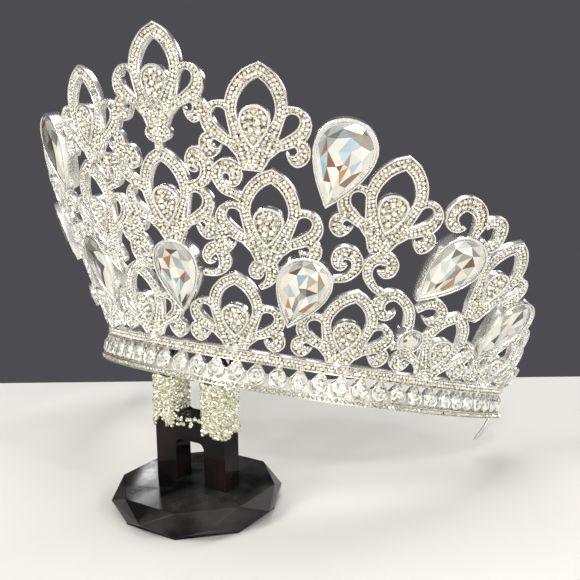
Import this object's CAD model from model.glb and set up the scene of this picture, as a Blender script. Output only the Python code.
import logging
import math
from dataclasses import dataclass
from enum import Enum
from itertools import product
from typing import Iterator, Sequence

import bpy
import numpy as np
from mathutils import Matrix, Vector
from mathutils.geometry import delaunay_2d_cdt
from mathutils.kdtree import KDTree


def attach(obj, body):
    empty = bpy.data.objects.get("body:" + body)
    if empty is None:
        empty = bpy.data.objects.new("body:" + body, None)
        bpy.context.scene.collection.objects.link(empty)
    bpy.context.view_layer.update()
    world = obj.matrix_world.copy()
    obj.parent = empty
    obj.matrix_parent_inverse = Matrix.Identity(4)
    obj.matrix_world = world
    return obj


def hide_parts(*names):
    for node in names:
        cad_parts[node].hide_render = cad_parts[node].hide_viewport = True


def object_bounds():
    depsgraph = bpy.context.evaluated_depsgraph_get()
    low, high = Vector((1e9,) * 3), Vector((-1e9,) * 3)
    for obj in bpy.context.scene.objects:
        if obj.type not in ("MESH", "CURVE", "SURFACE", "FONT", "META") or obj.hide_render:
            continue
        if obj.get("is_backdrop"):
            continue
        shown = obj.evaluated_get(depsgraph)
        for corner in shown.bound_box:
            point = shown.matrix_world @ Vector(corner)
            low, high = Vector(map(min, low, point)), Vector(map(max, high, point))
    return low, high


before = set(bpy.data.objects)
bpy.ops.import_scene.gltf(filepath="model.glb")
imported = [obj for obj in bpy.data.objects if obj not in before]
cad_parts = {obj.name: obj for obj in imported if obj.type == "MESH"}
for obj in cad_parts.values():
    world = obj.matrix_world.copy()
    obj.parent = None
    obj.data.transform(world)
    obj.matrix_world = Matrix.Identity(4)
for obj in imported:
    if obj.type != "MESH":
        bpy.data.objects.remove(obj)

CAD_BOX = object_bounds()
MM = 0.001
SEED = 41
TINY = 1e-9
log = logging.getLogger("crown")

Array = np.ndarray
Rng = np.random.Generator
Material = bpy.types.Material
Triple = tuple[float, float, float]
Colour = Triple
Stops = tuple[tuple[float, Colour], ...]
Rows = Sequence[tuple[float, ...]]
Faces = list[tuple[int, ...]]


class Slot(Enum):
    """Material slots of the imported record."""

    SILVER = "silver"
    CRYSTAL = "crystal"
    CHAMPAGNE = "champagne_crystal"
    BLACK = "black_crystal"


# ---------------------------------------------------------------- shader kit


@dataclass(frozen=True)
class Value:
    """A node's output that Python arithmetic can be done with."""

    kit: "NodeKit"
    source: bpy.types.NodeSocket | None

    def _math(self, operation: str, first: object, second: object) -> "Value":
        """Adds one Math node.

        Args:
            operation: The Math node's operation.
            first: First input, a Value or a number.
            second: Second input, a Value or a number.

        Returns:
            The node's output.
        """
        return self.kit.node("ShaderNodeMath", {"operation": operation}, {0: first, 1: second})

    def __add__(self, other: object) -> "Value":
        """Sum."""
        return self._math("ADD", self, other)

    __radd__ = __add__

    def __sub__(self, other: object) -> "Value":
        """Difference."""
        return self._math("SUBTRACT", self, other)

    def __rsub__(self, other: object) -> "Value":
        """Difference from a number."""
        return self._math("SUBTRACT", other, self)

    def __mul__(self, other: object) -> "Value":
        """Product."""
        return self._math("MULTIPLY", self, other)

    __rmul__ = __mul__

    def clamp(self) -> "Value":
        """This value held between nought and one."""
        return self.kit.node("ShaderNodeClamp", {}, {"Value": self})

    def past(self, edge: float, slope: float) -> "Value":
        """Rises from nought to one past an edge."""
        return ((self - edge) * slope).clamp()


class NodeKit:
    """Builds the node tree of a material or of the world."""

    MIX_INPUTS = (0, 6, 7)
    MIX_COLOUR = 2

    def __init__(self, owner: Material | bpy.types.World) -> None:
        """Empties the owner's tree.

        Args:
            owner: The material or world.
        """
        owner.use_nodes = True
        self.owner = owner
        self.tree = owner.node_tree
        self.tree.nodes.clear()

    @classmethod
    def material(cls, name: str) -> "NodeKit":
        """Starts a new material."""
        return cls(bpy.data.materials.new(name))

    def node(self, kind: str, settings: dict[str, object], inputs: dict[int | str, object],
             output: int | str | None = 0) -> Value:
        """Adds a node.

        Args:
            kind: The node's type.
            settings: Properties of the node; "stops" fills a colour ramp.
            inputs: Values or links by socket name or number.
            output: Name or number of the output that is returned.

        Returns:
            The chosen output.
        """
        made = self.tree.nodes.new(kind)
        for key, value in settings.items():
            if key == "stops":
                ramp = made.color_ramp
                while len(ramp.elements) < len(value):
                    ramp.elements.new(0.5)
                for stop, (place, colour) in zip(ramp.elements, value):
                    stop.position = place
                    stop.color = (*colour, 1.0)
            else:
                setattr(made, key, value)
        for key, value in inputs.items():
            if isinstance(value, Value):
                self.tree.links.new(value.source, made.inputs[key])
            else:
                made.inputs[key].default_value = value
        return Value(self, made.outputs[output] if output is not None else None)

    def facet(self) -> Value:
        """The facet attribute that the mesh code writes, from nought to one."""
        return self.node("ShaderNodeAttribute", {"attribute_name": "facet"}, {}, "Fac")

    def noise(self, scale: float, detail: float) -> Value:
        """Noise over the object.

        Args:
            scale: Noise scale per metre.
            detail: Noise detail.

        Returns:
            The noise's value.
        """
        where = self.node("ShaderNodeTexCoord", {}, {}, "Object")
        return self.node("ShaderNodeTexNoise", {},
                         {"Vector": where, "Scale": scale, "Detail": detail})

    def mix(self, factor: Value, first: Value | Colour, second: Value | Colour) -> Value:
        """Mixes two colours.

        Args:
            factor: Share of the second colour.
            first: Colour at nought.
            second: Colour at one.

        Returns:
            The mixed colour.
        """
        ends = [c if isinstance(c, Value) else (*c, 1.0) for c in (first, second)]
        return self.node("ShaderNodeMix", {"data_type": "RGBA"},
                         dict(zip(self.MIX_INPUTS, (factor, *ends))), self.MIX_COLOUR)

    def ramp(self, factor: Value, stops: Stops) -> Value:
        """Colour at a place on a ramp."""
        return self.node("ShaderNodeValToRGB", {"stops": stops}, {0: factor})

    def bump(self, height: Value, distance: float) -> Value:
        """Normal of a bump of some height, by its size in metres."""
        return self.node("ShaderNodeBump", {},
                         {"Height": height, "Distance": distance, "Strength": 1.0})

    def finish(self, inputs: dict[int | str, object]) -> Material:
        """Ends the tree with a Principled shader.

        Args:
            inputs: The shader's inputs.

        Returns:
            The material.
        """
        self.node("ShaderNodeOutputMaterial", {},
                  {"Surface": self.node("ShaderNodeBsdfPrincipled", {}, inputs)}, None)
        return self.owner


@dataclass(frozen=True)
class SilverFinish:
    """Plated metal with a faint hand-polished waviness."""

    name: str
    tone: Colour = (0.84, 0.83, 0.795)
    rough: float = 0.27
    dull: float = 0.93
    spread: float = 0.1
    wave: float = 0.00002
    broad_share: float = 0.7
    broad_scale: float = 220.0
    fine_scale: float = 2600.0

    def build(self) -> Material:
        """Makes the material.

        Returns:
            The material.
        """
        kit = NodeKit.material(self.name)
        broad, fine = kit.noise(self.broad_scale, 2.0), kit.noise(self.fine_scale, 3.0)
        height = broad * self.broad_share + fine * (1.0 - self.broad_share)
        return kit.finish({
            "Base Color": kit.mix(broad, tuple(self.dull * c for c in self.tone), self.tone),
            "Metallic": 1.0,
            "Roughness": (fine * self.spread + self.rough - self.spread / 2).clamp(),
            "Normal": kit.bump(height, self.wave),
        })


@dataclass(frozen=True)
class RecessFinish:
    """Foiled floor between the rims, darkened in specks where stones leave gaps."""

    name: str
    tone: Colour = (0.62, 0.56, 0.44)
    shade: Colour = (0.09, 0.07, 0.05)
    metallic: float = 0.7
    rough: float = 0.3
    relief: float = 0.00008

    def build(self) -> Material:
        """Makes the material.

        Returns:
            The material.
        """
        kit = NodeKit.material(self.name)
        grain = kit.noise(1500.0, 2.0)
        return kit.finish({
            "Base Color": kit.mix(grain.past(0.4, 6.0), self.shade, self.tone),
            "Metallic": self.metallic,
            "Roughness": (grain * self.rough + self.rough).clamp(),
            "Normal": kit.bump(grain, self.relief),
        })


@dataclass(frozen=True)
class StoneFinish:
    """Small foiled stones. Each facet takes its own tone from the facet attribute."""

    name: str
    stops: Stops
    metallic: float = 0.75
    rough: float = 0.1
    pale: float = 0.25
    spread: float = 0.12

    def build(self) -> Material:
        """Makes the material.

        Returns:
            The material.
        """
        kit = NodeKit.material(self.name)
        tone = kit.ramp(kit.facet(), self.stops)
        speck = kit.noise(4200.0, 1.0)
        return kit.finish({
            "Base Color": kit.mix(speck * self.pale, tone, (1.0, 1.0, 1.0)),
            "Metallic": self.metallic,
            "Roughness": (speck * self.spread + self.rough - self.spread / 3).clamp(),
            "Coat Weight": 1.0,
            "Coat Roughness": 0.03,
        })


@dataclass(frozen=True)
class BlackFinish:
    """Polished black crystal with cloudy depth and a worn, uneven gloss."""

    name: str
    deep: Colour = (0.004, 0.004, 0.005)
    cloud: Colour = (0.02, 0.012, 0.01)
    rough: float = 0.05
    spread: float = 0.08
    gloss: float = 0.09
    grain: float = 0.05
    relief: float = 0.000004

    def build(self) -> Material:
        """Makes the material.

        Returns:
            The material.
        """
        kit = NodeKit.material(self.name)
        fine = kit.noise(900.0, 4.0)
        patch = kit.noise(70.0, 5.0).past(0.42, 3.2)
        return kit.finish({
            "Base Color": kit.mix(patch, self.deep, self.cloud),
            "Roughness": (fine * self.grain + patch * self.spread + self.rough).clamp(),
            "Specular IOR Level": self.gloss,
            "Normal": kit.bump(fine, self.relief),
        })


@dataclass(frozen=True)
class FloorFinish:
    """Plain pale studio floor."""

    name: str
    low: Colour = (0.66, 0.645, 0.62)
    high: Colour = (0.7, 0.685, 0.66)

    def build(self) -> Material:
        """Makes the material.

        Returns:
            The material.
        """
        kit = NodeKit.material(self.name)
        return kit.finish({"Base Color": kit.mix(kit.noise(9.0, 4.0), self.low, self.high),
                           "Roughness": 0.55})


WHITE_STONES = (
    (0.0, (0.04, 0.03, 0.02)), (0.12, (0.18, 0.14, 0.09)), (0.23, (0.5, 0.45, 0.34)),
    (0.42, (0.8, 0.76, 0.64)), (0.7, (0.96, 0.94, 0.85)), (1.0, (1.0, 1.0, 0.98)))
CHAMPAGNE_STONES = (
    (0.0, (0.05, 0.045, 0.02)), (0.14, (0.28, 0.26, 0.14)), (0.32, (0.54, 0.52, 0.34)),
    (0.62, (0.72, 0.7, 0.52)), (1.0, (0.95, 0.95, 0.8)))
CLEAR_STONES = (
    (0.0, (0.09, 0.08, 0.05)), (0.12, (0.32, 0.29, 0.2)), (0.28, (0.64, 0.62, 0.5)),
    (0.45, (0.85, 0.84, 0.72)), (0.6, (0.7, 0.77, 0.76)), (0.8, (0.98, 0.97, 0.87)),
    (1.0, (1.0, 1.0, 0.95)))
PEAR_STONES = (
    (0.0, (0.012, 0.01, 0.01)), (0.06, (0.28, 0.1, 0.04)), (0.11, (0.5, 0.24, 0.1)),
    (0.15, (0.1, 0.1, 0.085)), (0.22, (0.34, 0.35, 0.29)), (0.3, (0.62, 0.62, 0.52)),
    (0.42, (0.9, 0.88, 0.8)), (0.52, (0.8, 0.62, 0.48)), (0.58, (0.82, 0.78, 0.68)),
    (0.66, (0.2, 0.33, 0.4)), (0.73, (0.42, 0.58, 0.64)), (0.8, (0.7, 0.7, 0.63)),
    (1.0, (0.93, 0.93, 0.88)))


class Finishes:
    """Every material of the crown and its stand."""

    def __init__(self) -> None:
        """Makes the materials."""
        self.rims = SilverFinish("silver_bright").build()
        self.satin = SilverFinish("silver_satin", (0.64, 0.62, 0.55), 0.46).build()
        self.recess = RecessFinish("silver_recess").build()
        self.fine = StoneFinish("pave_foil", WHITE_STONES, metallic=0.35, rough=0.18).build()
        self.drops = StoneFinish("teardrop_foil", WHITE_STONES, metallic=0.4).build()
        self.clear = StoneFinish("clear_foil", CLEAR_STONES, metallic=0.55).build()
        self.pears = StoneFinish("pear_foil", PEAR_STONES, rough=0.05, pale=0.05).build()
        self.champagne = StoneFinish("champagne_foil", CHAMPAGNE_STONES).build()
        self.crystal = BlackFinish("black_crystal").build()
        self.slate = BlackFinish("black_slate", (0.003, 0.003, 0.0035), (0.038, 0.037, 0.035),
                                 rough=0.1, spread=0.26, gloss=0.11).build()


# ------------------------------------------------------------ crown surface


@dataclass
class CrownSurface:
    """The metal's middle surface. s runs along the band, h up the metal, in mm."""

    half_w: float = 75.0
    depth: float = 87.0
    height: float = 106.0
    band_h: float = 12.0
    bend_h: float = 3.0
    flares: Triple = (28.0, 33.0, 16.0)
    mid_share: float = 0.44
    pitch: float = 16.5
    dip: float = 1.9
    seat: Triple = (-1.5, -1.9, 41.4)
    arc_steps: int = 720
    step: float = 0.25
    spare: float = 4.0

    def __post_init__(self) -> None:
        """Tables the arc length and the leaning profile."""
        self.arc_t = np.linspace(0.0, math.pi / 2, self.arc_steps + 1)
        lengths = np.linalg.norm(np.diff(self._plan(self.arc_t), axis=0), axis=1)
        self.arc_s = np.concatenate([[0.0], np.cumsum(lengths)])
        self.half_arc = float(self.arc_s[-1])
        self.lean_h = np.array([0.0, self.band_h - self.bend_h, self.band_h,
                                self.mid_share * self.height, self.height])
        self.lean_a = np.radians([0.0, 0.0, *self.flares])
        self.prof_h = np.arange(0.0, self.height + self.spare, self.step)
        lean = np.interp(self.prof_h + self.step / 2, self.lean_h, self.lean_a)
        self.prof_r, self.prof_z = (
            np.concatenate([[0.0], np.cumsum(self.step * part)[:-1]])
            for part in (np.sin(lean), np.cos(lean)))
        self.turned = np.array(Matrix.Rotation(math.radians(-self.pitch), 3, "X")
                               @ Matrix.Rotation(math.radians(self.dip), 3, "Y"))

    def _plan(self, t: Array) -> Array:
        """The band's curve seen from above, at plan angles."""
        return np.stack([self.half_w * np.sin(t), -self.depth * np.cos(t)], -1)

    def _outward(self, t: Array) -> Array:
        """Level unit vectors out of the band at plan angles."""
        out = np.stack([self.depth * np.sin(t), -self.half_w * np.cos(t)], -1)
        return out / np.linalg.norm(out, axis=-1, keepdims=True)

    def _facing(self, out: Array, h: Array) -> Array:
        """Unit vectors out of the leaning metal, from the level ones."""
        lean = np.interp(h, self.lean_h, self.lean_a)
        return np.concatenate([out * np.cos(lean)[..., None], -np.sin(lean)[..., None]], -1)

    def angle(self, s: Array) -> Array:
        """Plan angle at a place along the band."""
        return np.sign(s) * np.interp(np.abs(s), self.arc_s, self.arc_t)

    def stretch(self, s: Array, h: Array) -> Array:
        """How much longer the metal is at a height than at the band.

        Args:
            s: Places along the band.
            h: Heights up the metal.

        Returns:
            The factors.
        """
        t = self.angle(s)
        bend = self.half_w * self.depth / ((self.half_w * np.cos(t)) ** 2
                                           + (self.depth * np.sin(t)) ** 2) ** 1.5
        return 1.0 + np.interp(h, self.prof_h, self.prof_r) * bend

    def frames(self, s: Array, h: Array) -> Array:
        """Axes along the band, up the metal and out of it.

        Args:
            s: Places along the band.
            h: Heights up the metal.

        Returns:
            One 3 by 3 array of column axes for each place.
        """
        out = self._outward(self.angle(s))
        z = self._facing(out, h)
        x = np.stack([-out[..., 1], out[..., 0], np.zeros(out.shape[:-1])], -1)
        return self.turned @ np.stack([x, np.cross(z, x), z], -1)

    def place(self, s: Array, h: Array, d: Array | float) -> Array:
        """World places in mm.

        Args:
            s: Places along the band.
            h: Heights up the metal.
            d: Distances in front of the middle surface.

        Returns:
            An array of points.
        """
        t = self.angle(s)
        out = self._outward(t)
        xy = self._plan(t) + out * np.interp(h, self.prof_h, self.prof_r)[..., None]
        z = np.interp(h, self.prof_h, self.prof_z) + np.minimum(h, 0.0)
        local = np.concatenate([xy, z[..., None]], -1)
        local = local + self._facing(out, h) * np.asarray(d, float)[..., None]
        local[..., 1] += self.depth
        return local @ self.turned.T + self.seat


# --------------------------------------------------------------- mesh tools


def link(name: str, data: bpy.types.ID) -> bpy.types.Object:
    """Puts a mesh, light or camera into the scene.

    Args:
        name: The object's name.
        data: What it shows.

    Returns:
        The object.
    """
    made = bpy.data.objects.new(name, data)
    bpy.context.scene.collection.objects.link(made)
    return made


def mount(name: str, mesh: bpy.types.Mesh, slot: Slot,
          replaces: Sequence[str] = ()) -> bpy.types.Object:
    """Puts a piece into the scene, on the root body.

    Args:
        name: The piece's name.
        mesh: Its mesh.
        slot: The record's slot that it takes its finish from.
        replaces: CAD nodes that it stands for.

    Returns:
        The object.
    """
    made = link(name, mesh)
    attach(made, "root")
    if replaces:
        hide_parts(*replaces)
    log.info("%s: %d faces", name, len(mesh.polygons))
    return made


class MeshBag:
    """Collects vertices and faces in mm and makes one object of them."""

    def __init__(self) -> None:
        """Starts empty."""
        self.points: list[Array] = []
        self.faces: Faces = []
        self.facets: list[float] = []
        self.slots: list[int] = []
        self.count = 0

    def add(self, points: Array, faces: Sequence[Sequence[int]],
            facets: Sequence[float] | None = None, slot: int = 0) -> None:
        """Adds a piece of mesh.

        Args:
            points: Its points.
            faces: Its faces, by its own point numbers.
            facets: One tone for each face.
            slot: Its material's number.
        """
        self.points.append(points)
        self.faces += [tuple(int(i) + self.count for i in f) for f in faces]
        self.facets.extend(facets if facets is not None else [0.5] * len(faces))
        self.slots += [slot] * len(faces)
        self.count += len(points)

    def rings(self, rings: Sequence[Array], caps: tuple[bool, bool] = (True, True),
              facets: Sequence[float] | None = None) -> None:
        """Adds a skin through closed rings of equal length.

        Args:
            rings: The rings, each an array of points.
            caps: Whether the first and the last ring are closed.
            facets: One tone for each face.
        """
        n, last = len(rings[0]), len(rings) - 1
        faces: Faces = []
        for k, j in product(range(last), range(n)):
            a, b = k * n + j, k * n + (j + 1) % n
            faces.append((a, b, b + n, a + n))
        if caps[0]:
            faces.append(tuple(range(n - 1, -1, -1)))
        if caps[1]:
            faces.append(tuple(range(last * n, (last + 1) * n)))
        self.add(np.concatenate(rings), faces, facets)

    def make(self, name: str, materials: Sequence[Material], slot: Slot,
             replaces: Sequence[str] = (), smooth: float | None = None) -> None:
        """Makes the piece.

        Args:
            name: The piece's name.
            materials: Its materials.
            slot: The record's slot that it takes its finish from.
            replaces: CAD nodes that it stands for.
            smooth: Angle in degrees under which edges are smooth, or None for flat faces.
        """
        mesh = bpy.data.meshes.new(name)
        mesh.from_pydata((np.concatenate(self.points) * MM).tolist(), [], self.faces)
        tone = mesh.attributes.new("facet", "FLOAT", "FACE")
        tone.data.foreach_set("value", np.array(self.facets, np.float32))
        mesh.polygons.foreach_set("material_index", np.array(self.slots, np.int32))
        for material in materials:
            mesh.materials.append(material)
        if smooth is not None:
            mesh.shade_smooth()
            mesh.set_sharp_from_angle(angle=math.radians(smooth))
        mesh.validate()
        mount(name, mesh, slot, replaces)


CURVE_STEPS = 4
PEAR_WIDEST = 0.7698  # the largest value of sin(t) sin(t / 2)


def smooth_rows(rows: Rows) -> Array:
    """Runs a smooth curve through table rows.

    Args:
        rows: Rows of equal length.

    Returns:
        The finer rows.
    """
    p = np.array(rows, float)
    p = np.concatenate([[2 * p[0] - p[1]], p, [2 * p[-1] - p[-2]]])
    out = []
    for i, k in product(range(1, len(p) - 2), range(CURVE_STEPS)):
        t = k / CURVE_STEPS
        out.append(0.5 * (2 * p[i] + (p[i + 1] - p[i - 1]) * t
                          + (2 * p[i - 1] - 5 * p[i] + 4 * p[i + 1] - p[i + 2]) * t ** 2
                          + (3 * p[i] - p[i - 1] - 3 * p[i + 1] + p[i + 2]) * t ** 3))
    return np.array([*out, p[-2]])


def pear(w: float, l: float, n: int, turn: float = 0.0) -> Array:
    """Outline of a pear, point down, counter-clockwise.

    Args:
        w: Width.
        l: Length.
        n: Points.
        turn: Share of a step that the points are moved on by.

    Returns:
        The points.
    """
    t = 2 * math.pi * (np.arange(n) + turn) / n
    return np.stack([w / 2 / PEAR_WIDEST * np.sin(t) * np.sin(t / 2), -l / 2 * np.cos(t)], 1)


def ring(w: float, n: int, turn: float = 0.5) -> Array:
    """Outline of a circle, counter-clockwise from its foot."""
    t = 2 * math.pi * (np.arange(n) + turn) / n
    return np.stack([w / 2 * np.sin(t), -w / 2 * np.cos(t)], 1)


def lifted(outline: Array, z: float) -> Array:
    """An outline at a height."""
    return np.concatenate([outline, np.full((len(outline), 1), z)], 1)


def unit(v: Array) -> Array:
    """Vectors brought to a length of one."""
    return v / (np.linalg.norm(v, axis=-1, keepdims=True) + TINY)


def doubled_area(a: Array, b: Array, c: Array) -> Array:
    """Twice the area of triangles, negative where they run clockwise."""
    ab, ac = b - a, c - a
    return ab[..., 0] * ac[..., 1] - ab[..., 1] * ac[..., 0]


def matrices(*entries: Array | float) -> Array:
    """3 by 3 matrices from their nine entries, row by row."""
    return np.stack(np.broadcast_arrays(*entries), -1).reshape(-1, 3, 3)


@dataclass(frozen=True)
class Anchor:
    """A place on the crown that motifs are laid out from, in their own mm."""

    surface: CrownSurface
    s: float
    h: float
    tilt: float = 0.0

    def _tilted(self, xy: Array) -> tuple[Array, Array]:
        """Distances across and up, turned clockwise by the tilt."""
        c, q = math.cos(math.radians(self.tilt)), math.sin(math.radians(self.tilt))
        return xy[:, 0] * c + xy[:, 1] * q, xy[:, 1] * c - xy[:, 0] * q

    def mapped(self, xy: Array) -> Array:
        """Points that follow the crown's curve.

        Args:
            xy: Their distances across and up.

        Returns:
            Rows of s and h.
        """
        x, y = self._tilted(xy)
        h = self.h + y
        return np.stack([self.s + x / self.surface.stretch(np.full_like(x, self.s), h), h], 1)

    def bent(self, xy: Array, d: float) -> Array:
        """World points that follow the curve, d in front of the middle surface."""
        return self.surface.place(*self.mapped(xy).T, d)

    def flat(self, xyz: Array) -> Array:
        """World points of a flat piece that touches the crown here.

        Args:
            xyz: Its points, with z out of the crown.

        Returns:
            World points.
        """
        here = (np.array([self.s]), np.array([self.h]))
        local = np.stack([*self._tilted(xyz), xyz[:, 2]], 1)
        return self.surface.place(*here, 0.0) + local @ self.surface.frames(*here)[0].T

    def disc(self, w: float, z: float, n: int, turn: float = 0.5) -> Array:
        """World points of a circle that lies flat here, z out of the crown."""
        return self.flat(lifted(ring(w, n, turn), z))


# -------------------------------------------------------------- scrollwork


# A fleur's right half, in hundredths of half its width and of its length from its tip: x and y
# of the outer and of the inner edge. DROP is the width, top and foot of its teardrop.
FLANK: Rows = (
    (0, 0, 0, -14.8), (27.1, -8.4, 14.1, -20.3), (47.1, -22.6, 25.9, -29),
    (54.7, -38.7, 32.9, -40.6), (50.6, -51.6, 29.4, -53.2), (40, -72.6, 5.9, -74.2),
    (34, -84, -3.5, -85.5), (27, -92, -3.5, -92), (21, -99, -3.5, -99), (9, -108, -3.5, -108))
EAR: Rows = (
    (46, -39, 46, -56), (60, -37.5, 52, -48), (77, -38.5, 61, -44.6), (91, -44.5, 71, -45.6),
    (97, -53, 75.5, -50.5), (94, -62.5, 71, -57.5), (84, -70, 59, -63.5), (66, -75.5, 47, -68.5),
    (48, -80, 34, -72.5))
HOOK: Rows = (
    (38, -76, 21, -93.5), (54, -72, 33.5, -87), (72, -69, 45, -80.8), (88, -68.5, 56, -76.4),
    (97.5, -75, 66, -74.6), (96.5, -84.5, 72.5, -75.6), (86, -91.5, 74.5, -78.8),
    (74, -93.5, 71, -82), (64.5, -90.5, 65.5, -82.8), (58, -85, 61, -82), (55.5, -79.5, 57, -78.6))
DROP = (54.0, 39.0, 81.0)
# One peak of the band's wall: shares of a pitch from its middle and of its height.
ZIGZAG = ((-0.5, 0.0), (-0.42, 0.04), (-0.09, 1.0), (0.09, 1.0), (0.42, 0.04))


@dataclass(frozen=True)
class Fleur:
    """One cast fleur: its tip's place, size, and the sides that are there."""

    s: float
    h: float
    tilt: float = 0.0
    w: float = 1.0
    l: float = 1.0
    sides: tuple[int, int, int, int] = (1, 1, 1, 1)
    stem: float = 102.0


HALF_FLEURS = (
    Fleur(15, 91.3), Fleur(17.9, 65.6), Fleur(37.3, 74.4, 2, stem=104),
    Fleur(64, 59.5, 3, sides=(0, 0, 1, 0), stem=104),
    Fleur(11.9, 35.2, 0, 0.97, 0.93, stem=96), Fleur(35.7, 35.2, 0, 0.97, 0.93, stem=96),
    Fleur(59.5, 34, 0, 0.97, 0.9, stem=96), Fleur(83.3, 29.5, 0, 0.95, 0.73, stem=96))
CENTRE_FLEURS = (Fleur(0, 100, stem=122), Fleur(0, 68.9))

# Middle lines of the scrolls: hundredths of the half band, of the height and of scroll_w.
SCROLLS = (
    ((5.5, 34.0, 50), (7.7, 34.2, 58), (9.2, 35.3, 80), (10.0, 37.2, 111), (10.1, 38.9, 127),
     (9.8, 40.8, 127), (9.0, 41.9, 132), (7.8, 41.7, 122), (6.9, 40.2, 105), (6.6, 38.9, 88),
     (6.9, 37.7, 58), (7.8, 37.7, 32), (8.3, 37.9, 10)),
    ((16.9, 31.7, 50), (18.2, 33.2, 75), (18.9, 34.9, 105), (19.1, 36.6, 120),
     (18.7, 38.3, 130), (17.6, 38.9, 130), (16.5, 38.1, 130), (15.9, 36.8, 120),
     (15.9, 35.7, 100), (16.6, 35.3, 70), (17.2, 35.7, 40), (17.6, 36.2, 15)),
    ((30.3, 37.4, 55), (32.4, 38.3, 68), (33.5, 40.2, 85), (33.9, 42.1, 106),
     (33.6, 44.2, 115), (32.6, 45.7, 125), (31.4, 46.0, 130), (30.4, 45.3, 125),
     (30.1, 43.6, 110), (30.3, 42.1, 85), (31.0, 41.3, 62), (31.7, 41.7, 38), (32.2, 42.5, 12)),
    ((40.1, 35.8, 62), (38.5, 36.8, 73), (37.0, 38.9, 87), (36.2, 40.8, 95), (36.0, 43.0, 105),
     (36.6, 44.9, 112), (37.8, 46.2, 125), (39.3, 45.7, 135), (40.2, 44.2, 125),
     (40.1, 42.3, 112), (39.4, 41.3, 68), (38.5, 41.5, 35), (37.9, 41.7, 10)),
    ((48.7, 26.4, 110), (47.8, 30.4, 108), (46.2, 33.4, 105), (43.8, 35.5, 103),
     (41.9, 35.3, 115), (40.7, 33.6, 125), (40.6, 31.3, 125), (41.4, 29.6, 110),
     (42.5, 28.7, 85), (43.6, 29.1, 58), (44.2, 30.2, 32), (44.3, 31.3, 8)),
    ((48.8, 32.3, 60), (50.4, 34.5, 85), (53.0, 35.1, 100), (55.1, 32.6, 106),
     (54.6, 29.8, 92), (52.7, 29.2, 56), (51.0, 30.4, 15)),
    ((52.9, 57.0, 70), (52.9, 59.1, 100), (52.9, 61.3, 130), (52.3, 63.4, 140),
     (51.0, 65.1, 140), (49.2, 65.7, 138), (48.0, 64.5, 135), (47.3, 62.6, 135),
     (47.4, 60.6, 130), (48.1, 59.1, 115), (49.2, 58.5, 75), (50.1, 58.7, 38),
     (50.6, 59.2, 10)),
    ((54.2, 60.8, 70), (55.1, 62.3, 95), (56.7, 62.6, 115), (57.7, 61.3, 130),
     (58.1, 59.1, 130), (58.1, 56.8, 120), (57.3, 55.3, 100), (55.9, 55.5, 70),
     (55.3, 56.4, 45), (55.0, 57.4, 15)),
    ((13.8, 56.8, 86), (12.4, 57.7, 75), (10.7, 58.7, 86), (9.8, 60.6, 98), (9.5, 62.5, 109),
     (9.9, 64.3, 115), (11.0, 65.1, 132), (12.1, 64.5, 138), (12.4, 62.8, 126), (12.2, 61.3, 103),
     (11.6, 60.6, 69), (11.1, 60.6, 29)),
    ((4.3, 58.7, 63), (6.0, 59.4, 80), (7.3, 60.9, 105), (7.8, 63.2, 115), (7.6, 65.5, 122),
     (6.8, 67.2, 128), (5.8, 67.5, 122), (5.1, 65.8, 98), (5.3, 64.2, 85), (5.9, 63.5, 62),
     (6.5, 63.7, 29)),
    ((76.5, 41, 90), (80.5, 39.6, 100), (83.6, 36, 100), (84, 31.5, 100), (82.5, 27.5, 90)),
    ((83.5, 33, 90), (87.5, 31.2, 100), (90.3, 27, 100), (89.4, 22, 90), (87, 18, 80)),
    ((89.2, 26, 90), (92.6, 24.4, 95), (95.2, 20.5, 95), (95.6, 15.5, 90), (95.2, 10.5, 80)),
    ((27.5, 25, 60), (27.1, 28, 70), (28.3, 31.5, 75)),
    ((46.5, 19.5, 80), (48.7, 21.5, 80), (50, 26, 80)))


@dataclass(frozen=True)
class PearPlace:
    """Where a pear stone sits, as shares of the half band and of the height."""

    name: str
    s: float
    h: float
    tilt: float
    big: bool


HALF_PEARS = (
    PearPlace("low", 24.8, 32.1, 11, False), PearPlace("high", 27.6, 69.3, 9, True),
    PearPlace("side", 50.9, 46.3, 28, True), PearPlace("end", 74.3, 31.4, 20, False))
FRONT_PEAR = PearPlace("front", 0, 32.4, 0, False)
HALF_ROUNDS = (PearPlace("side", 49.9, 23, 0, False), PearPlace("end", 95.6, 15.8, 0, False))


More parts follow.
